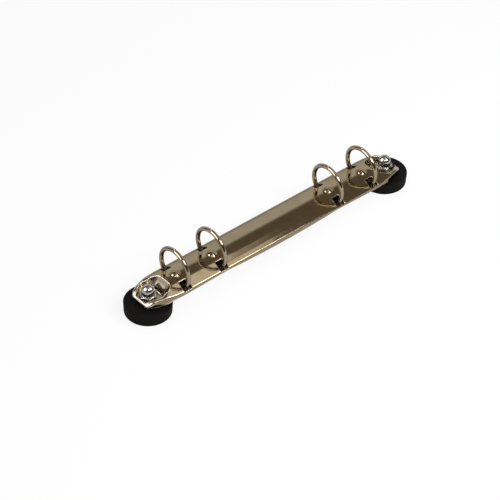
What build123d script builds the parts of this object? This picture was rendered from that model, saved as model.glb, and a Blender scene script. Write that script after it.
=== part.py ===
"""Four-ring binder mechanism on two magnet feet.

Frame: millimetres, +Z up. The origin is on the plane that the feet stand on, under the middle of the
mechanism. +X runs along the row of rings, +Y to the rear. The rings are closed.

One long arched pressing, the top plate, spans the two feet. Two carrier plates lie under its arch. Each
turns in the lip along its own long edge, and each holds four half rings, so the four rings open and close
together. A cap nut on each foot's stud clamps the plate's end pad to the foot.
"""
from build123d import *

import os
from math import cos, radians, sin, sqrt, tan

# ---- Rings ------------------------------------------------------------------------------------------------
PAIR_PITCH = 21.0  # between the two rings of a pair
RING_INSET = 20.2  # from the plate's end to the outer ring
WIRE = 2.1  # ring wire diameter
RING_BORE = 16.5  # clear diameter inside a closed ring
RING_LIFT = 3.5  # from the plate's crest up to the rings' centres
TIP_GAP = 0.2  # between the two tips of a closed ring
TIP_CHAMFER = 0.2  # round a tip's rim
NOSE_ROOT = 1.2  # locating cone on a front tip: diameter at its root
NOSE_END = 0.6  # and at its end
NOSE_LENGTH = 0.9
NOSE_CLEARANCE = 0.15  # round the cone, in the rear tip's dimple
NECK = 1.5  # diameter of the wire's neck, in its hole in the carrier
RIVET_HEAD = 2.6  # diameter of the staked head under the carrier
RIVET_DEPTH = 0.6
RIVET_ROUND = 0.36  # round the head's rim

# ---- Feet: rubber-coated pot magnets ----------------------------------------------------------------------
FOOT_INSET = 5.0  # from the plate's end to the stud
FOOT_DIAMETER = 22.0
FOOT_HEIGHT = 6.0
FOOT_TAPER = 0.25  # how much the radius shrinks down to the resting face
FOOT_TOP_ROUND = 0.5
FOOT_BOTTOM_ROUND = 0.8
RUBBER = 0.9  # thickness of the coating
POT_WALL = 1.5
POT_CROWN = 1.6
POT_GAP = 0.8  # between the magnet and the pot's wall, filled with rubber
STUD = 4.0
STUD_HEAD = 6.0
STUD_HEAD_THICKNESS = 0.9
STUD_HEAD_GAP = 0.3  # round the head, in the magnet's hole
STUD_REACH = 6.0  # above the foot
STUD_POINT = 0.4  # chamfer at its top end

# ---- Cap nuts ---------------------------------------------------------------------------------------------
NUT_FLATS = 7.0
NUT_HEX = 3.2  # height of the hexagon
NUT_HEIGHT = 8.0
NUT_DOME = 6.0  # diameter of the cap
NUT_THREAD = 6.0  # depth of the tapped hole
NUT_CHAMFER = 30.0  # degrees, on the hexagon's corners
NUT_FACE = 6.4  # diameter of the flat seat inside that chamfer

# ---- Top plate --------------------------------------------------------------------------------------------
SHEET = 0.8
PLATE_LENGTH = 152.4
PLATE_WIDTH = 19.4
EDGE_RISE = 4.0  # from the pads' underside up to the bend along a long edge
ARCH_RISE = 3.0  # from that bend up to the crest
BEND_RADIUS = 1.0  # outside radius of the bend into the lip
TAPER_LENGTH = 19.0  # stretch at each end where the outline draws in
END_WIDTH = 11.6  # width that it draws in to
END_CORNER = 3.0
LIP_MIDDLE = 2.2  # depth of the lip below the bend at mid-length
LIP_SHALLOW = 1.0  # at its shallowest
LIP_SHOULDER = 1.7  # and where the pad begins
LIP_SHALLOW_X = 33.0
LIP_SHOULDER_X = 62.0
LIP_STEP = 5.0  # stretch over which the lip drops towards the foot
LIP_FOOT_GAP = 1.3  # left between the lip and the foot
PAD_LENGTH = 11.0  # flat floor of a pad, in from the plate's end
PAD_INNER_WIDTH = 9.6  # of the room pressed down over that floor, at its inner end
PAD_WIDTH = 13.0  # where it is widest
PAD_WIDEST = 6.4  # which is this far in from the plate's end
PAD_END_WIDTH = 7.2  # and at its outer end
PAD_END_LEAN = 3.6  # how far the inner end wall leans back over its height
PAD_SIDE_LEAN = 0.6  # and the other walls
PAD_CORNER = 3.2  # plan radius of the inner corners
PAD_SIDE_ROUND = 3.0  # where the sides turn in
PAD_END_CORNER = 1.2
PAD_FOOT_ROUND = 0.8  # between the floor and the walls
RIM_START = 8.5  # the rim beside the room starts this far in from the plate's end
RIM_START_RISE = 4.2  # as high as this above the pad's floor
RIM_END = 2.8  # and ends here
RIM_END_RISE = 3.45
TIP_RISE = 1.4  # and this high at the plate's end
STUD_CLEARANCE = 0.15
DOME_RADIUS = 2.8  # pressed dome between the legs of a ring
DOME_HEIGHT = 1.1
DOME_BLEND = 0.8  # hollow round where it runs out into the arch
SLOT_LENGTH = 4.5  # leg slot, along X
SLOT_INNER = 4.8  # its inner end, from the middle plane
SLOT_SILL = 0.15  # its outer end, below the bend
SLOT_CORNER = 0.6
TAB_LENGTH = 8.0  # tab curled in under a carrier's outer edge
TAB_THICKNESS = 0.7
TAB_ROUND = 0.28  # along its free edge

# ---- Carriers ---------------------------------------------------------------------------------------------
CARRIER_SHEET = 0.9
CARRIER_INSET = 16.7  # from the plate's end to a carrier's
CARRIER_CORNER = 1.5
CARRIER_SLOPE = 7.5  # degrees down towards the middle when the rings are closed
CARRIER_GAP = 0.4  # between the two inner edges
HINGE_CLEARANCE = 0.1  # from a carrier's rounded outer edge to the lip
HINGE_DROP = 0.7  # from the bend down to the hinge line
TAB_CLEARANCE = 0.3
TONGUE_WIDTH = 6.0
TONGUE_REACH = 1.4  # past the middle
TONGUE_CLEARANCE = 0.3
TONGUE_ROUND = 0.5

# ---- Working values ---------------------------------------------------------------------------------------
OVERCUT = 5.0  # how far a cutter goes past what it cuts
NEAR = 0.01  # positions this close count as the same

# ---- Worked out from the above ----------------------------------------------------------------------------
half_length = PLATE_LENGTH / 2
outer_x = half_length - RING_INSET
inner_x = outer_x - PAIR_PITCH
ring_xs = [-outer_x, -inner_x, inner_x, outer_x]
foot_xs = {"left": FOOT_INSET - half_length, "right": half_length - FOOT_INSET}
carrier_length = PLATE_LENGTH - 2 * CARRIER_INSET

pad_floor = FOOT_HEIGHT + SHEET
bend_z = FOOT_HEIGHT + EDGE_RISE
crest_z = bend_z + ARCH_RISE
half_width = PLATE_WIDTH / 2
arch_radius = (half_width**2 + ARCH_RISE**2) / (2 * ARCH_RISE)
arch_centre_z = crest_z - arch_radius

wire_radius = WIRE / 2
ring_radius = RING_BORE / 2 + wire_radius
ring_z = crest_z + RING_LIFT

hinge_y = half_width - SHEET - HINGE_CLEARANCE - CARRIER_SHEET / 2
hinge_z = bend_z - HINGE_DROP
tongue_xs = [-(inner_x + outer_x) / 2, 0, (inner_x + outer_x) / 2]

pot_radius = FOOT_DIAMETER / 2 - FOOT_TAPER - RUBBER
pot_height = FOOT_HEIGHT - 2 * RUBBER
standing = (Align.CENTER, Align.CENTER, Align.MIN)
hanging = (Align.CENTER, Align.CENTER, Align.MAX)
ABOVE = ring_z + ring_radius + 10  # a level above the whole mechanism


def mirrored(shape, plane):
    """The shape with its mirror image added."""
    return shape + mirror(shape, about=plane)


# ---- Top plate --------------------------------------------------------------------------------------------
def plate_outline():
    """Plan of the plate: straight long edges that draw in on large arcs to a narrow end."""
    shoulder = (half_length - TAPER_LENGTH, half_width)
    corner = (half_length, END_WIDTH / 2)
    side = Line((0, half_width), shoulder)
    taper = TangentArc(shoulder, corner, tangent=(1, 0))
    end = Line(corner, (half_length, 0))
    half = mirrored(Curve() + [side, taper, end], Plane.XZ)
    outline = make_face(mirrored(half, Plane.YZ))
    ends = outline.vertices().filter_by(lambda v: abs(v.X) > half_length - NEAR)
    return fillet(ends, END_CORNER)


def crown_profile(drop):
    """Side view of the arch's top, lowered by drop: it falls away to the rims beside the pads, then to the tips."""
    brow = (half_length - PAD_LENGTH - PAD_END_LEAN - 2 * BEND_RADIUS, crest_z)
    start = (half_length - RIM_START, pad_floor + RIM_START_RISE)
    end = (half_length - RIM_END, pad_floor + RIM_END_RISE)
    tip = (half_length, pad_floor + TIP_RISE)
    fall = Spline(brow, start, end, tip, tangents=((1, 0), (1, -1)))
    beyond = Polyline(tip, (tip[0] + OVERCUT, tip[1] - OVERCUT), (tip[0] + OVERCUT, 0), (0, 0))
    right = Curve() + [Line((0, crest_z), brow), fall, beyond]
    return Pos(0, -drop) * make_face(mirrored(right, Plane.YZ))


def arch_block(outline, drop):
    """What lies under the top surface, lowered by drop, within the outline."""
    arch = Pos(0, 0, arch_centre_z) * Rot(0, 90, 0) * Cylinder(arch_radius - drop, PLATE_LENGTH + OVERCUT)
    return extrude(outline, ABOVE) & arch & extrude(Plane.XZ * crown_profile(drop), PLATE_WIDTH, both=True)


def bent_edge(block):
    """Round the block's top edge all round, where the sheet is bent down into the lip: one half, then its mirror."""
    half = block & Box(PLATE_LENGTH, PLATE_WIDTH, ABOVE, align=(Align.MIN, Align.CENTER, Align.MIN))
    sides = half.faces().filter_by(lambda f: abs(f.normal_at().Z) < NEAR and f.center().X > NEAR).edges()
    tops = half.faces().filter_by(lambda f: f.normal_at().Z > NEAR).edges()
    rounded = fillet(sides.filter_by(lambda e: any(e.is_same(t) for t in tops)), BEND_RADIUS)
    return mirrored(rounded, Plane.YZ)


def lip_profile():
    """Side view of what is kept of the lips: deepest at mid-length and round the pads."""
    ring_low = (LIP_SHALLOW_X, bend_z - LIP_SHALLOW)
    shoulder = (LIP_SHOULDER_X, bend_z - LIP_SHOULDER)
    pad = (LIP_SHOULDER_X + LIP_STEP, FOOT_HEIGHT + LIP_FOOT_GAP)
    middle = ThreePointArc((-ring_low[0], ring_low[1]), (0, bend_z - LIP_MIDDLE), ring_low)
    beyond = half_length + OVERCUT
    right = Polyline(ring_low, shoulder, pad, (beyond, pad[1]), (beyond, ABOVE), (0, ABOVE))
    profile = Curve() + [middle, right, mirror(right, about=Plane.YZ)]
    return make_face(profile)


def pad_plan(share, grow):
    """Plan of the room over the right pad at a share of its height, grown on every side."""
    out = PAD_SIDE_LEAN * share + grow
    inner = (half_length - PAD_LENGTH - PAD_END_LEAN * share - grow, PAD_INNER_WIDTH / 2 + out)
    widest = (half_length - PAD_WIDEST, PAD_WIDTH / 2 + out)
    outer = (half_length - SHEET + grow, PAD_END_WIDTH / 2 + grow)
    half = Polyline((inner[0], 0), inner, widest, outer, (outer[0], 0))
    plan = make_face(mirrored(half, Plane.XZ))
    for corner, radius in ((inner, PAD_CORNER + grow), (widest, PAD_SIDE_ROUND), (outer, PAD_END_CORNER + grow)):
        plan = fillet(plan.vertices().filter_by(lambda v: abs(v.X - corner[0]) < NEAR and abs(v.Y) > NEAR), radius)
    return plan


def pad_room(grow):
    """The room pressed down into the right end of the arch, every wall moved outwards by grow."""
    depth = crest_z - pad_floor
    low = Pos(0, 0, pad_floor - grow) * pad_plan(-grow / depth, grow)
    high = Pos(0, 0, crest_z + SHEET) * pad_plan(1 + SHEET / depth, grow)
    room = loft([low, high], ruled=True)
    return fillet(room.faces().sort_by(Axis.Z)[0].edges(), PAD_FOOT_ROUND + grow)


def dome(radius):
    """Ball that a pressed dome's surface is part of."""
    return Pos(0, 0, crest_z + DOME_HEIGHT - DOME_RADIUS) * Sphere(radius)


def leg_slot():
    """Cutter for the slot that the front leg of the ring at x = 0 passes through."""
    depth = half_width + OVERCUT - SLOT_INNER
    plan = Pos(0, -(SLOT_INNER + depth / 2)) * Rectangle(SLOT_LENGTH, depth)
    inner = plan.vertices().filter_by(lambda v: abs(v.Y) < SLOT_INNER + NEAR)
    return Pos(0, 0, bend_z - SLOT_SILL) * extrude(fillet(inner, SLOT_CORNER), ABOVE)


def tab():
    """Tab curled in from the front lip, under the carrier's outer edge."""
    top = hinge_z - CARRIER_SHEET / 2 - TAB_CLEARANCE
    reach = half_width - hinge_y + CARRIER_SHEET / 2
    solid = Box(TAB_LENGTH, reach, TAB_THICKNESS, align=(Align.CENTER, Align.MIN, Align.MAX))
    free_edge = solid.edges().filter_by(Axis.X).group_by(Axis.Y)[-1]
    return Pos(0, -half_width, top) * fillet(free_edge, TAB_ROUND)


def top_plate():
    outline = plate_outline()
    block = bent_edge(arch_block(outline, 0))
    hollow = arch_block(offset(outline, -SHEET), SHEET)
    plate = (block - hollow) & extrude(Plane.XZ * lip_profile(), PLATE_WIDTH, both=True)

    # End pads: each wall and floor is one sheet thick
    plate = plate + (mirrored(pad_room(SHEET), Plane.YZ) & block) - mirrored(pad_room(0), Plane.YZ)
    for x in foot_xs.values():
        plate -= Pos(x, 0, pad_floor) * Cylinder(STUD / 2 + STUD_CLEARANCE, OVERCUT)

    # Pressed domes, leg slots and the tabs that keep the carriers in
    slots = mirrored(leg_slot(), Plane.XZ)
    for x in ring_xs:
        plate = plate + Pos(x, 0, 0) * (dome(DOME_RADIUS) - arch_core())
    balls = plate.faces().filter_by(GeomType.SPHERE).filter_by(lambda f: f.center().Z > crest_z)
    plate = fillet(balls.edges().filter_by(lambda e: e.bounding_box().max.Z < crest_z + DOME_HEIGHT / 2), DOME_BLEND)
    for x in ring_xs:
        plate -= Pos(x, 0, 0) * dome(DOME_RADIUS - SHEET)
        plate -= Pos(x, 0, 0) * slots
    return plate + mirrored(tab(), Plane.XZ)


def arch_core():
    """Full round bar whose top is the underside of the arch."""
    return Pos(0, 0, arch_centre_z) * Rot(0, 90, 0) * Cylinder(arch_radius - SHEET, 2 * DOME_RADIUS + OVERCUT)


# ---- Carriers and half rings ------------------------------------------------------------------------------
def on_front_carrier(shape):
    """Place a shape drawn on a flat carrier: hinge line along x, +y towards the other carrier."""
    return Pos(0, -hinge_y, hinge_z) * Rot(-CARRIER_SLOPE, 0, 0) * shape


def leg_distance():
    """Where a ring's centre line meets the carrier's top face, measured from the hinge line."""
    slope = radians(CARRIER_SLOPE)
    rise = ring_z - hinge_z
    centre_y = hinge_y * cos(slope) - rise * sin(slope)
    centre_z = hinge_y * sin(slope) + rise * cos(slope)
    return centre_y - sqrt(ring_radius**2 - (centre_z - CARRIER_SHEET / 2) ** 2)


def flat_carrier(edge):
    """Flat strip with its rounded outer edge on the hinge line, its leg holes, and edge(plan) on the inner."""
    slope = radians(CARRIER_SLOPE)
    reach = (hinge_y - CARRIER_GAP / 2 - CARRIER_SHEET / 2 * sin(slope)) / cos(slope)
    plan = Pos(0, reach / 2) * Rectangle(carrier_length, reach)
    inner = plan.vertices().filter_by(lambda v: v.Y > reach / 2)
    plan = edge(fillet(inner, CARRIER_CORNER), hinge_y / cos(slope))
    strip = extrude(plan, CARRIER_SHEET / 2, both=True)
    strip += Rot(0, 90, 0) * Cylinder(CARRIER_SHEET / 2, carrier_length)
    for x in ring_xs:
        strip -= Pos(x, leg_distance(), 0) * Cylinder(NECK / 2, 2 * CARRIER_SHEET)
    return strip


def tongues(plan, middle):
    """Add the tongues that reach past the middle into the other carrier's notches."""
    for x in tongue_xs:
        tongue = Pos(x, middle) * Rectangle(TONGUE_WIDTH, 2 * TONGUE_REACH)
        far = tongue.vertices().filter_by(lambda v: v.Y > middle)
        plan += fillet(far, TONGUE_ROUND)
    return plan


def notches(plan, middle):
    """Cut the notches that the tongues reach into."""
    for x in tongue_xs:
        size = 2 * TONGUE_CLEARANCE
        notch = Pos(x, middle) * Rectangle(TONGUE_WIDTH + size, 2 * TONGUE_REACH + size)
        deep = notch.vertices().filter_by(lambda v: v.Y < middle)
        plan -= fillet(deep, TONGUE_ROUND)
    return plan


def front_carrier():
    return on_front_carrier(flat_carrier(tongues))


def rear_carrier():
    return mirror(on_front_carrier(flat_carrier(notches)), about=Plane.XZ)


def half_ring_wire():
    """Front half of the ring at x = 0, with its neck through the carrier and its staked head below."""
    wire = Pos(0, 0, ring_z) * Rot(0, 90, 0) * Torus(ring_radius, wire_radius)
    size = 4 * ring_radius
    front = Box(size, size, size, align=(Align.CENTER, Align.MAX, Align.CENTER))
    wire &= Pos(0, -TIP_GAP / 2, ring_z) * front
    above = Box(size, size, size, align=(Align.CENTER, Align.CENTER, Align.MIN))
    wire &= on_front_carrier(Pos(0, 0, CARRIER_SHEET / 2) * above)
    tip = wire.faces().filter_by(Axis.Y).sort_by(Axis.Z)[-1]
    wire = chamfer(tip.edges(), TIP_CHAMFER)
    neck = Cylinder(NECK / 2, CARRIER_SHEET, align=hanging)
    head = Pos(0, 0, -CARRIER_SHEET) * Cylinder(RIVET_HEAD / 2, RIVET_DEPTH, align=hanging)
    head = fillet(head.edges().sort_by(Axis.Z)[0], RIVET_ROUND)
    return wire + on_front_carrier(Pos(0, leg_distance(), CARRIER_SHEET / 2) * (neck + head))


def nose(grow):
    """Locating cone at the front tip, grown on every side by grow."""
    cone = Cone(NOSE_ROOT / 2 + grow, NOSE_END / 2 + grow, NOSE_LENGTH + grow, align=standing)
    return Pos(0, -TIP_GAP / 2, ring_z + ring_radius) * Rot(-90, 0, 0) * cone


def front_half_ring():
    return half_ring_wire() + nose(0)


def rear_half_ring():
    return mirror(half_ring_wire(), about=Plane.XZ) - nose(NOSE_CLEARANCE)


# ---- Feet and cap nuts ------------------------------------------------------------------------------------
def foot_pot():
    """Steel pot, open downwards, inside the coating."""
    pot = Pos(0, 0, RUBBER) * Cylinder(pot_radius, pot_height, align=standing)
    pot -= Pos(0, 0, RUBBER) * Cylinder(pot_radius - POT_WALL, pot_height - POT_CROWN, align=standing)
    return pot - Cylinder(STUD / 2, FOOT_HEIGHT, align=standing)


def foot_magnet():
    """Ring magnet against the pot's crown."""
    height = pot_height - POT_CROWN
    magnet = Pos(0, 0, RUBBER) * Cylinder(pot_radius - POT_WALL - POT_GAP, height, align=standing)
    return magnet - Cylinder(STUD_HEAD / 2 + STUD_HEAD_GAP, FOOT_HEIGHT, align=standing)


def foot_stud():
    """Stud with its head under the pot's crown."""
    crown = RUBBER + pot_height - POT_CROWN
    shank = Pos(0, 0, crown) * Cylinder(STUD / 2, FOOT_HEIGHT + STUD_REACH - crown, align=standing)
    shank = chamfer(shank.edges().sort_by(Axis.Z)[-1], STUD_POINT)
    head = Pos(0, 0, crown - STUD_HEAD_THICKNESS) * Cylinder(STUD_HEAD / 2, STUD_HEAD_THICKNESS, align=standing)
    return shank + head


def foot_cover():
    """Rubber moulded round the pot, the magnet and the stud."""
    cover = Cone(FOOT_DIAMETER / 2 - FOOT_TAPER, FOOT_DIAMETER / 2, FOOT_HEIGHT, align=standing)
    rims = cover.edges().filter_by(GeomType.CIRCLE).sort_by(Axis.Z)
    cover = fillet(rims[0], FOOT_BOTTOM_ROUND)
    rims = cover.edges().filter_by(GeomType.CIRCLE).sort_by(Axis.Z)
    cover = fillet(rims[-1], FOOT_TOP_ROUND)
    return cover - foot_pot() - foot_magnet() - foot_stud()


def cap_nut():
    """Domed cap nut standing on z = 0."""
    radius = NUT_DOME / 2
    body = Cylinder(radius, NUT_HEIGHT - radius, align=standing) + Pos(0, 0, NUT_HEIGHT - radius) * Sphere(radius)
    hexagon = extrude(RegularPolygon(NUT_FLATS / 2, 6, major_radius=False), NUT_HEX)
    cone_height = NUT_FLATS * tan(radians(NUT_CHAMFER))
    base = Cone(NUT_FACE / 2, NUT_FACE / 2 + NUT_FLATS, cone_height, align=standing)
    top = Pos(0, 0, NUT_HEX) * mirror(base, about=Plane.XY)
    nut = (hexagon & base & top) + body
    return nut - Cylinder(STUD / 2, NUT_THREAD, align=standing)


# ---- Export -----------------------------------------------------------------------------------------------
parts = {"top_plate": top_plate(), "front_carrier": front_carrier(), "rear_carrier": rear_carrier()}
for number, x in enumerate(ring_xs, start=1):
    parts[f"front_ring_{number}"] = Pos(x, 0, 0) * front_half_ring()
    parts[f"rear_ring_{number}"] = Pos(x, 0, 0) * rear_half_ring()
for side, x in foot_xs.items():
    parts[f"{side}_foot_cover"] = Pos(x, 0, 0) * foot_cover()
    parts[f"{side}_foot_pot"] = Pos(x, 0, 0) * foot_pot()
    parts[f"{side}_foot_magnet"] = Pos(x, 0, 0) * foot_magnet()
    parts[f"{side}_foot_stud"] = Pos(x, 0, 0) * foot_stud()
    parts[f"{side}_cap_nut"] = Pos(x, 0, pad_floor) * cap_nut()

os.makedirs("parts", exist_ok=True)
for name, shape in parts.items():
    export_step(shape, f"parts/{name}.step")
    print(name, round(shape.volume, 2), len(shape.solids()))
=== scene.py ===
# %% [markdown]
# # A ring binder mechanism, dressed for the studio
#
# The real object is an arched pressing of nickel plated steel that stands on two rubber coated magnets. Four
# wire rings come up through it, and open together in two halves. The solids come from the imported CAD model,
# in metres and in their places, so this lesson gives them their finishes, a floor, the light and a camera.

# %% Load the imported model
from math import cos, pi, radians, sin

import bpy
from mathutils import Matrix, Vector


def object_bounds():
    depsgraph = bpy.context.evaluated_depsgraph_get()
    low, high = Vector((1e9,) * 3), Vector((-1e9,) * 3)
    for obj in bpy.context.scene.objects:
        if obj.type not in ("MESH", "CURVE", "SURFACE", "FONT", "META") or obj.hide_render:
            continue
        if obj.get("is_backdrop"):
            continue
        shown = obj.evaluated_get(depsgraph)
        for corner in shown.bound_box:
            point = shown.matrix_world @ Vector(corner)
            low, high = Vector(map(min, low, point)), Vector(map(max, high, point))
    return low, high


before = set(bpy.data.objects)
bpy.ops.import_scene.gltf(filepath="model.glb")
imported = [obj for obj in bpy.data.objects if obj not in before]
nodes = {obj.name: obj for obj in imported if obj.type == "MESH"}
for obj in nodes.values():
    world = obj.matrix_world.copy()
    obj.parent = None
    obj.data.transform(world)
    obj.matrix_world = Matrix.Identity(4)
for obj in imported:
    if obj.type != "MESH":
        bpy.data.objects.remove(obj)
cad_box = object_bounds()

millimetre = 0.001
print(len(nodes), "pieces in a box of", [round(v / millimetre, 1) for v in cad_box[1] - cad_box[0]], "mm")

# %% [markdown]
# ## Small helpers
#
# Colours are picked on a screen, so they are written as the hex values a paint chart would show.
# Cycles works with linear light, so one function turns a hex value into linear numbers. A second one adds
# any shader node, with its settings and with what each of its sockets is fed: a value, or a link.

# %% Colours and nodes
def light_of(hex_value):
    """Linear colour of an sRGB hex value."""
    channels = [int(hex_value[i:i + 2], 16) / 255 for i in (1, 3, 5)]
    return tuple(c / 12.92 if c <= 0.04045 else ((c + 0.055) / 1.055) ** 2.4 for c in channels) + (1.0,)


def add(tree, kind, sockets=None, **settings):
    """Adds a node. A socket, by name or number, takes a value or another node's output."""
    node = tree.nodes.new("ShaderNode" + kind)
    for name, value in settings.items():
        setattr(node, name, value)
    for name, value in (sockets or {}).items():
        if isinstance(value, bpy.types.NodeSocket):
            tree.links.new(value, node.inputs[name])
        else:
            node.inputs[name].default_value = value
    return node


def new_material(name):
    """Empty material with its output node."""
    material = bpy.data.materials.new(name)
    material.use_nodes = True
    material.node_tree.nodes.clear()
    return material, material.node_tree, add(material.node_tree, "OutputMaterial")


print("mid grey #808080 is", round(light_of("#808080")[0], 3), "in linear light")

# %% [markdown]
# ## Patches of a real size
#
# Every pattern here starts from a size in millimetres. A noise texture repeats about once per unit of its
# coordinates, so its scale is one over the size of a patch in metres. A painted image could hold the same
# marks, but it would need unwrapping, and a noise in the object's own space runs unbroken over every edge.
# A noise mostly stays in a narrow range, which is spread over the two levels that a finish asks for.

# %% A value that drifts
NOISE_RANGE = (0.3, 0.7)


def patches(tree, size, least=0.0, most=1.0, detail=2.0, roughness=0.5):
    """A value that drifts between two levels, in patches of about this many millimetres."""
    noise = add(tree, "TexNoise", {
        "Vector": add(tree, "TexCoord").outputs["Object"],
        "Scale": 1 / (size * millimetre),
        "Detail": detail,
        "Roughness": roughness,
    })
    return add(tree, "MapRange", {
        "Value": noise.outputs["Fac"],
        "From Min": NOISE_RANGE[0],
        "From Max": NOISE_RANGE[1],
        "To Min": least,
        "To Max": most,
    }, clamp=False).outputs[0]


print("patches of 2 mm have the scale", 1 / (2 * millimetre))

# %% [markdown]
# ## Painted highlight and wear on edges
#
# The edges get a pale colour: partly wear, where things slide over the plating, and partly a painted
# highlight, the one a rounded rim would catch. Their roughness rises too. A bevel node gives the normal
# that a rounded edge would have. On a flat it agrees with the real normal and near an edge it doesn't, so
# their dot product finds the edges. The mark is strong at the left end and faint along the rest.

# %% Where the edges get a painted highlight and wear
SHEEN_AND_WEAR_END = (-60, -64)  # mm along the plate: none on the right of these, the full painted edge highlight and wear on the left
FAINT = 0.15  # how strong the mark is on the rest
SCRATCHED = 0.5  # roughness on the bright edges: fine scratches spread the light there, so it looks soft
NEAR_EDGE = (0.995, 0.90)  # agreement of the two normals where an edge begins to show, and where it is full


def painted_edge_sheen_and_wear(tree, width):
    """Mask of the painted edge highlight and wear: 1 on the edges of the left end, faint on other edges and 0
    on flats; the width is in mm.
    """
    rounded = add(tree, "Bevel", {"Radius": width * millimetre}, samples=8)
    real = add(tree, "NewGeometry")
    agree = add(tree, "VectorMath", {
        0: rounded.outputs["Normal"],
        1: real.outputs["Normal"],
    }, operation="DOT_PRODUCT")
    edge = add(tree, "MapRange", {
        "Value": agree.outputs["Value"],
        "From Min": NEAR_EDGE[0],
        "From Max": NEAR_EDGE[1],
    })
    place = add(tree, "SeparateXYZ", {"Vector": add(tree, "TexCoord").outputs["Object"]})
    strength = add(tree, "MapRange", {
        "Value": place.outputs["X"],
        "From Min": SHEEN_AND_WEAR_END[0] * millimetre,
        "From Max": SHEEN_AND_WEAR_END[1] * millimetre,
        "To Min": FAINT,
    })
    sheen_and_wear = add(tree, "Math", {0: edge.outputs[0], 1: strength.outputs[0]}, operation="MULTIPLY")
    return sheen_and_wear.outputs[0]


# the bright edges are a painted highlight over some wear
print("edges are worn bright beyond", SHEEN_AND_WEAR_END[1], "mm")

# %% [markdown]
# ## Plated metal
#
# Every metal piece here is steel with a thin bright plating, so one recipe serves them all. Metals have no
# colour of their own under their gloss: the base colour tints what they mirror. Two close colours in soft
# patches keep a large surface from looking painted. The gloss drifts as well, because handling leaves a
# haze, so the roughness runs between two values at a finer grain. A metal mirrors almost everything at a
# glancing angle, and its specular tint says how much, so a light grey there keeps the outlines from turning
# white. The plating follows the steel below, which is never quite flat, so a slow and shallow wave bends the
# reflections a little. And every edge is slightly round, which a second bevel node gives to the light
# without changing the mesh.

# %% A plated finish
CLOUDS = 7.0  # mm: soft patches of the two colours
HAZE = 1.4  # mm: how finely the gloss drifts
GLANCING = "#D2CEC7"  # what is left of a reflection at a glancing angle


def plated_metal(name, light, dark, sheen_and_wear, gloss, edge, bend, wave, wave_depth):
    """Three colours, the last a painted edge highlight over some wear, a pair of roughnesses, and in mm the
    bright edge, a bend, and a wave and its depth.
    """
    material, tree, output = new_material(name)
    cloudy = patches(tree, CLOUDS, detail=4.0, roughness=0.6)
    plating = add(tree, "Mix", {0: cloudy, 6: light_of(dark), 7: light_of(light)}, data_type="RGBA")
    # the pale edge colour paints a highlight over some wear; the same mask raises the roughness there
    edge_sheen_and_wear = painted_edge_sheen_and_wear(tree, edge)
    colour = add(tree, "Mix", {0: edge_sheen_and_wear, 6: plating.outputs[2], 7: light_of(sheen_and_wear)}, data_type="RGBA")
    hazy = patches(tree, HAZE, gloss[0], gloss[1], detail=4.0, roughness=0.65)
    scratched = add(tree, "Mix", {0: edge_sheen_and_wear, 2: hazy, 3: SCRATCHED})
    rounded = add(tree, "Bevel", {"Radius": bend * millimetre}, samples=8)
    bump = add(tree, "Bump", {
        "Height": patches(tree, wave, detail=1.0),
        "Distance": wave_depth * millimetre,
        "Normal": rounded.outputs["Normal"],
    })
    metal = add(tree, "BsdfPrincipled", {
        "Base Color": colour.outputs[2],
        "Metallic": 1.0,
        "Roughness": scratched.outputs[0],
        "Specular Tint": light_of(GLANCING),
        "Normal": bump.outputs["Normal"],
    })
    tree.links.new(metal.outputs["BSDF"], output.inputs["Surface"])
    print(name, "with a roughness of", gloss)
    return material


print("a plated finish drifts in colour over", CLOUDS, "mm and in gloss over", HAZE, "mm")

# %% [markdown]
# The plate and the rings are nickel, a warm metal with a yellow cast that reads as champagne. The sheet keeps
# the faint unevenness of its pressing. The wire was drawn through a die, so it is smoother and mirrors the
# room more sharply, and it has no edges to wear.

# %% Nickel on sheet and on wire
# each last colour paints the highlight on the edges, over some wear
nickel_sheet = plated_metal(
    "bright nickel on pressed steel", light="#92856F", dark="#867963", sheen_and_wear="#FBF6EE",
    gloss=(0.07, 0.13), edge=1.2, bend=0.6, wave=8.0, wave_depth=0.012)
nickel_wire = plated_metal(
    "bright nickel on drawn wire", light="#9E927F", dark="#8C806E", sheen_and_wear="#B8AC98",
    gloss=(0.06, 0.10), edge=0.1, bend=0.1, wave=5.0, wave_depth=0.004)

# %% [markdown]
# The cap nuts are colder and greyer than the plate, which sets them off as bought-in fasteners. The carriers,
# studs and pots are only zinc plated, duller and bluer, as nobody sees them in a closed binder. The magnets
# have a thin nickel coat of their own, which gives them a soft silvery face inside their black covers.

# %% Cold metals
# here too the last colour paints the highlight on the edges, over some wear
nut_plating = plated_metal(
    "bright plated cap nut", light="#A6A6A5", dark="#969695", sheen_and_wear="#D0D0CE",
    gloss=(0.12, 0.17), edge=0.25, bend=0.4, wave=5.0, wave_depth=0.002)
zinc_sheet = plated_metal(
    "zinc plated carrier sheet", light="#A9A9A4", dark="#8F908D", sheen_and_wear="#BDBDB8",
    gloss=(0.28, 0.42), edge=0.15, bend=0.3, wave=4.0, wave_depth=0.008)
zinc_stud = plated_metal(
    "zinc plated stud steel", light="#A8A8A2", dark="#92938F", sheen_and_wear="#BDBDB8",
    gloss=(0.25, 0.38), edge=0.1, bend=0.2, wave=3.0, wave_depth=0.004)
zinc_pot = plated_metal(
    "zinc plated pot steel", light="#A3A29C", dark="#8C8C88", sheen_and_wear="#B8B8B3",
    gloss=(0.25, 0.40), edge=0.2, bend=0.3, wave=4.0, wave_depth=0.008)
magnet_coat = plated_metal(
    "nickel coat on a magnet", light="#A9A49A", dark="#98938A", sheen_and_wear="#C6C0B4",
    gloss=(0.12, 0.20), edge=0.2, bend=0.2, wave=4.0, wave_depth=0.004)

# %% [markdown]
# ## Painted light down in the pads
#
# Each end of the plate has a pad pressed down into it for its nut. The recess sits in its own shade, so
# its plating is painted paler there, as painted light. The mask is a box in the plate's own space: beyond
# the last rings, below the arch, and inside the lips.

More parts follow.
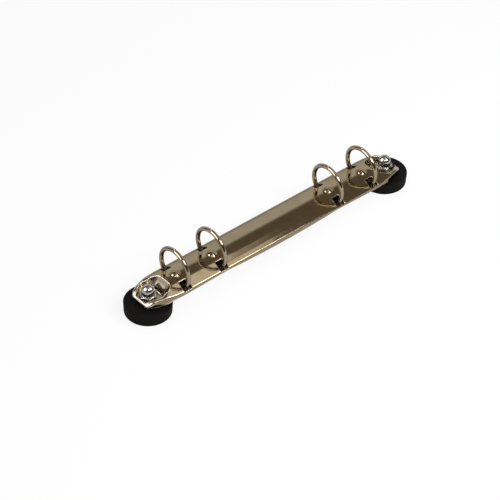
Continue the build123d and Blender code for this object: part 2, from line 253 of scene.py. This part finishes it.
# %% Painted light in the pads
# a pale colour that paints light into the shaded recesses of the pads
PAINTED_PAD_LIGHT = "#BFB7A6"
PAD_START = (61, 64)  # mm from the middle along the plate: none of it, all of it
PAD_DEPTH = (11.0, 10.0)  # mm above the floor
PAD_LIP = (-7.4, -6.6)  # mm across the plate, from inside the front lip on

tree = nickel_sheet.node_tree
shader = tree.nodes["Principled BSDF"]
place = add(tree, "SeparateXYZ", {"Vector": add(tree, "TexCoord").outputs["Object"]})
along = add(tree, "Math", {0: place.outputs["X"]}, operation="ABSOLUTE").outputs[0]
limits = (
    (along, PAD_START),
    (place.outputs["Z"], PAD_DEPTH),
    (place.outputs["Y"], PAD_LIP),
)
in_pad = 1.0
for value, (none, full) in limits:
    within = add(tree, "MapRange", {
        "Value": value,
        "From Min": none * millimetre,
        "From Max": full * millimetre,
    })
    in_pad = add(tree, "Math", {0: in_pad, 1: within.outputs[0]}, operation="MULTIPLY").outputs[0]
plating = shader.inputs["Base Color"].links[0].from_socket
# the pads' plating turns paler here: painted light in the shaded recesses
paler = add(tree, "Mix", {0: in_pad, 6: plating, 7: light_of(PAINTED_PAD_LIGHT)}, data_type="RGBA")
tree.links.new(paler.outputs[2], shader.inputs["Base Color"])
print("pads are paler beyond", PAD_START[1], "mm and below", PAD_DEPTH[1], "mm")

# %% [markdown]
# ## Black rubber
#
# The feet are magnets in a moulded rubber coat, which grips the desk and doesn't scratch it. Rubber is near
# black and matt, and what little gloss it has is broken up by the grain of the mould. A thin bloom of wax
# and dust lightens it in soft patches. The grain is really about a tenth of a millimetre, and is drawn at
# four tenths here, as a finer one would vanish.

# %% Moulded rubber
BLOOM = 6.0  # mm: patches of the bloom
MOULD_GRAIN = 0.4  # mm: four times the real grain, so that it shows
MOULD_DEPTH = 0.008  # mm
RUBBER_ROUND = 0.3  # mm: every edge of a moulding is a little round


def moulded_rubber(name, dark, bloomed, matt):
    """Near black rubber between two colours and two roughnesses, with a mould grain."""
    material, tree, output = new_material(name)
    bloom = patches(tree, BLOOM, detail=4.0, roughness=0.6)
    colour = add(tree, "Mix", {0: bloom, 6: light_of(dark), 7: light_of(bloomed)}, data_type="RGBA")
    dull = patches(tree, BLOOM, matt[0], matt[1], detail=4.0, roughness=0.6)
    rounded = add(tree, "Bevel", {"Radius": RUBBER_ROUND * millimetre}, samples=4)
    bump = add(tree, "Bump", {
        "Height": patches(tree, MOULD_GRAIN),
        "Distance": MOULD_DEPTH * millimetre,
        "Strength": 0.6,
        "Normal": rounded.outputs["Normal"],
    })
    rubber = add(tree, "BsdfPrincipled", {
        "Base Color": colour.outputs[2],
        "Roughness": dull,
        "Specular IOR Level": 0.05,
        "Normal": bump.outputs["Normal"],
    })
    tree.links.new(rubber.outputs["BSDF"], output.inputs["Surface"])
    print(name, "between", dark, "and", bloomed)
    return material


black_rubber = moulded_rubber(
    "moulded black rubber", dark="#0F0D0C", bloomed="#161311", matt=(0.6, 0.75))

# %% [markdown]
# ## Every piece gets its finish
#
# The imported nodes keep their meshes, and only what is in their material slots changes. A word in each
# node's name says what it is made of.

# %% Dress the nodes
finishes = {
    "top_plate": nickel_sheet,
    "carrier": zinc_sheet,
    "ring": nickel_wire,
    "cap_nut": nut_plating,
    "stud": zinc_stud,
    "pot": zinc_pot,
    "magnet": magnet_coat,
    "foot_cover": black_rubber,
}
for name, node in nodes.items():
    finish = next(material for word, material in finishes.items() if word in name)
    for slot in node.material_slots:
        slot.material = finish
    print(name, "is", finish.name)

# %% [markdown]
# ## The floor
#
# A sheet of pale card, matt and almost white, takes the soft shadows. Lit card never renders quite white,
# so a part of it glows for the eye. A light path node tells camera rays, and rays that a glossy or clear
# surface sends on, from the light that falls on the object, so the glow adds no light to the object.

# %% Pale card floor
SEEN_GLOW = 0.85  # share of plain white in what the eye sees
MIRRORED_GLOW = 0.05  # and in what metal mirrors, where the lit card is bright enough
FIBRES = 3.0  # mm: cloudiness of the card
FLOOR_GAP = 0.02  # mm: keeps the card just clear of the feet
reach = 4.0  # m

floor_mesh = bpy.data.meshes.new("floor card")
corners = [(-reach, -reach, 0), (reach, -reach, 0), (reach, reach, 0), (-reach, reach, 0)]
floor_mesh.from_pydata(corners, [], [(0, 1, 2, 3)])
floor = bpy.data.objects.new("floor_card", floor_mesh)
bpy.context.scene.collection.objects.link(floor)
floor.location.z = cad_box[0].z - FLOOR_GAP * millimetre

card, tree, output = new_material("pale card")
paper = add(tree, "Mix", {
    0: patches(tree, FIBRES, detail=3.0),
    6: light_of("#F5F5F4"),
    7: light_of("#F8F8F7"),
}, data_type="RGBA")
matt = add(tree, "BsdfPrincipled", {
    "Base Color": paper.outputs[2],
    "Roughness": 0.9,
    "Specular IOR Level": 0.1,
})
glow = add(tree, "Emission", {"Color": light_of("#FFFFFF"), "Strength": 1.0})
ray = add(tree, "LightPath").outputs
mirrored = add(tree, "Math", {0: ray["Is Glossy Ray"], 1: ray["Is Transmission Ray"]}, operation="MAXIMUM")
faint = add(tree, "Math", {0: mirrored.outputs[0], 1: MIRRORED_GLOW}, operation="MULTIPLY")
strong = add(tree, "Math", {0: ray["Is Camera Ray"], 1: SEEN_GLOW}, operation="MULTIPLY")
share = add(tree, "Math", {0: faint.outputs[0], 1: strong.outputs[0]}, operation="MAXIMUM")
pale = add(tree, "MixShader", {0: share.outputs[0], 1: matt.outputs[0], 2: glow.outputs[0]})
tree.links.new(pale.outputs[0], output.inputs["Surface"])
floor_mesh.materials.append(card)
floor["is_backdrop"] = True
print("the floor lies at", round(floor.location.z / millimetre, 3), "mm")

# %% [markdown]
# ## Light by direction
#
# Bright metal is drawn by what stands around it. So the room is painted by direction, much as a studio for
# silverware is built from white walls, windows and dark cloth. A direction is an azimuth, turned from the
# front towards the right, and an elevation. A dot product tells how near any direction is to one of them,
# and a smooth step gives the patch a soft border.

# %% Directions and soft patches
def direction_of(azimuth, elevation):
    """Unit vector of two angles in degrees."""
    flat = cos(radians(elevation))
    return Vector((sin(radians(azimuth)) * flat, -cos(radians(azimuth)) * flat, sin(radians(elevation))))


def near_to(tree, way, azimuth, elevation, inner, outer):
    """1 within the inner angle of a direction, fading to 0 at the outer angle."""
    facing = add(tree, "VectorMath", {0: way, 1: direction_of(azimuth, elevation)}, operation="DOT_PRODUCT")
    return add(tree, "MapRange", {
        "Value": facing.outputs["Value"],
        "From Min": cos(radians(outer)),
        "From Max": cos(radians(inner)),
    }, interpolation_type="SMOOTHSTEP").outputs["Result"]


print("straight over the right end is", [round(c, 2) for c in direction_of(90, 90)])

# %% [markdown]
# ## The room
#
# The ceiling is dim and warm, and draws the dark band along the arch. Behind the object stands a white wall,
# up to about forty degrees, which gives the far half of the arch its even tone. A tall window on the left
# puts the second spot on every dome and the streak on every ring. The room in front is dark, which gives
# the round wires their dark sides. Only mirrored rays see all this: the eye sees plain white, and matt
# surfaces get an even light. The dim parts are written as paint colours. The window and the lit wall shine
# brighter than any paint, so they are written as linear light, where 1 is white card.

# %% Paint the room
UPPER_WINDOW = (5.5, 5.5, 5.4, 1.0)
LOWER_WINDOW = (1.3, 1.3, 1.27, 1.0)  # it looks out on shade
LIT_WALL = (1.12, 1.12, 1.12, 1.0)
WALL_TOP = (0.71, 0.58)  # sines of an elevation: no wall above the first, full wall below the second

world = bpy.data.worlds.new("studio room")
bpy.context.scene.world = world
world.use_nodes = True
tree = world.node_tree
tree.nodes.clear()
way = add(tree, "TexCoord").outputs["Generated"]
height = add(tree, "SeparateXYZ", {"Vector": way}).outputs["Z"]
low = add(tree, "MapRange", {
    "Value": height,
    "From Min": WALL_TOP[0],
    "From Max": WALL_TOP[1],
}, interpolation_type="SMOOTHSTEP")
behind = near_to(tree, way, 135, 10, 42, 60)
wall = add(tree, "Math", {0: low.outputs["Result"], 1: behind}, operation="MULTIPLY").outputs[0]
room = light_of("#8A8070")
for name, place, paint in (
    ("light ceiling overhead", near_to(tree, way, 0, 90, 16, 26), light_of("#AAA191")),
    ("dark room in front", near_to(tree, way, -15, 8, 32, 46), light_of("#5A544A")),
    ("lower window", near_to(tree, way, 243, 10, 16, 26), LOWER_WINDOW),
    ("upper window", near_to(tree, way, 252, 38, 18, 27), UPPER_WINDOW),
    ("white wall behind", wall, LIT_WALL),
):
    room = add(tree, "Mix", {0: place, 6: room, 7: paint}, data_type="RGBA", label=name).outputs[2]
    print("painted", name)

# %% [markdown]
# The painted room is joined to the other two by the light path, in the same way as the floor's glow.

# %% Who sees what
EVEN_LIGHT = 0.5  # with the lamps added, matt colours render about as they are written

shown = add(tree, "Background", {"Color": room, "Strength": 1.0})
even = add(tree, "Background", {"Color": light_of("#FFFFFF"), "Strength": EVEN_LIGHT})
white = add(tree, "Background", {"Color": light_of("#FFFFFF"), "Strength": 1.0})
ray = add(tree, "LightPath").outputs
mirrored = add(tree, "Math", {0: ray["Is Glossy Ray"], 1: ray["Is Transmission Ray"]}, operation="MAXIMUM")
reflected = add(tree, "MixShader", {0: mirrored.outputs[0], 1: even.outputs[0], 2: shown.outputs[0]})
seen = add(tree, "MixShader", {0: ray["Is Camera Ray"], 1: reflected.outputs[0], 2: white.outputs[0]})
add(tree, "OutputWorld", {"Surface": seen.outputs[0]})
print("the room has", len(tree.nodes), "nodes")

# %% [markdown]
# ## The lamps
#
# A small, strong lamp stands low in front, towards the right. It draws the white line along the near bend,
# and the brighter spot on every dome. A wide strip above the camera carries that spot round the wires. Soft
# boxes lie flat over the right end, and the near half of the arch mirrors them as the pale area at the left.
# The small one has a veil over half of it, so the area fades out towards the middle of the plate.

# %% Lamps
DAYLIGHT = "#FBFCFF"
WARM_LIGHT = "#FFFBF5"
BOX_LEVEL = 0.335  # m above the floor
LOW_LAMP = 10.0  # the brightnesses, where 1 shines as white card does
STRIP = 5.0
SOFT_BOX = 1.45
VEILED = 0.45
middle = Vector((0, 0, 14 * millimetre))


def lamp(name, place, size, brightness, hex_value, towards=None):
    """Oblong lamp with its size in m. It lies flat, or faces a point."""
    light = bpy.data.lights.new(name, "AREA")
    light.shape = "RECTANGLE"
    light.size, light.size_y = size
    light.energy = brightness * pi * size[0] * size[1]
    light.color = light_of(hex_value)[:3]
    holder = bpy.data.objects.new(name, light)
    bpy.context.scene.collection.objects.link(holder)
    holder.location = place
    if towards is not None:
        holder.rotation_mode = "QUATERNION"
        holder.rotation_quaternion = (place - towards).to_track_quat("Z", "Y")
    print(name, "at", [round(c, 2) for c in place], "m with", round(light.energy, 2), "W")
    return holder


low_place = middle + 0.45 * direction_of(31, 41)
strip_place = middle + 0.55 * direction_of(-5, 49)
large_place = Vector((0.1185, -0.06, BOX_LEVEL))
bare_place = Vector((0.1735, -0.128, BOX_LEVEL))
veiled_place = Vector((0.1705, -0.0305, BOX_LEVEL))
lamp("low lamp in front", low_place, (0.12, 0.18), LOW_LAMP, DAYLIGHT, middle)
lamp("strip in front", strip_place, (0.52, 0.20), STRIP, DAYLIGHT, middle)
lamp("large soft box", large_place, (0.077, 0.22), SOFT_BOX, WARM_LIGHT)
lamp("small box, bare half", bare_place, (0.047, 0.094), SOFT_BOX, WARM_LIGHT)
lamp("small box, veiled half", veiled_place, (0.027, 0.101), VEILED, WARM_LIGHT)

# %% [markdown]
# ## The camera
#
# A long lens looks down from above the near left end, so that the row of rings runs away to the right and
# hardly narrows. The camera is first moved back from the middle, and then turned about it: its roll, then
# its height, then its bearing.

# %% Camera
BEARING = -42.112  # degrees from the front, so to the left
ELEVATION = 40.911  # degrees
ROLL = 1.713  # degrees
STAND_OFF = (-8.938, -3.116, 1031.7)  # mm aside, down and away from the middle

camera = bpy.data.cameras.new("camera")
camera.sensor_width = 36.0  # mm
camera.lens = 163.06  # mm
camera.clip_start = 0.05  # m
camera.clip_end = 20.0  # m
eye = bpy.data.objects.new("camera", camera)
bpy.context.scene.collection.objects.link(eye)
bearing = Matrix.Rotation(radians(BEARING), 4, "Z")
tilt = Matrix.Rotation(radians(90 - ELEVATION), 4, "X")
roll = Matrix.Rotation(radians(ROLL), 4, "Z")
stand_off = Matrix.Translation(Vector(STAND_OFF) * millimetre)
eye.matrix_world = bearing @ tilt @ roll @ stand_off
bpy.context.scene.camera = eye
bpy.context.scene.view_settings.view_transform = "Standard"
print("camera at", [round(c / millimetre) for c in eye.matrix_world.translation], "mm")

# %% Sizes
dressed_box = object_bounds()
change = max((dressed_box[0] - cad_box[0]).length, (dressed_box[1] - cad_box[1]).length)
print("the dressed model measures", [round(v / millimetre, 2) for v in dressed_box[1] - dressed_box[0]], "mm")
print("and a corner has moved by at most", round(change / millimetre, 4), "mm")
